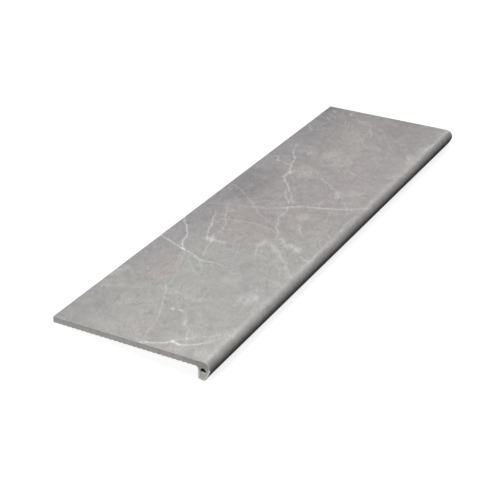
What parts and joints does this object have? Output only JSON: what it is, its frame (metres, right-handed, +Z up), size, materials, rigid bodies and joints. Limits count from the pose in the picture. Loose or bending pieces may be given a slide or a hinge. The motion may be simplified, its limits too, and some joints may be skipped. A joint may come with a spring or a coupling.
{
  "type": "stair tread tile",
  "caption": "Long ceramic stair tread tile with a round nose that drops over the step's edge, marble-look glaze on top and grooves underneath.",
  "frame": {"origin": "centre of the tile's footprint, on the floor that it rests on", "axes": "+X along the tile's length, -Y towards the round nose, +Z up. The tile rests on the foot of its nose and on its rear lower edge, so its walking face slopes about 5 degrees down to the rear"},
  "size_m": [1.2, 0.33, 0.0393],
  "materials": {
    "glazed_tile": "satin-matt glaze printed as grey veined marble over a bare warm-grey fired body"
  },
  "bodies": {
    "root": {"stair_tread_tile": "glazed_tile"}
  },
  "joints": []
}
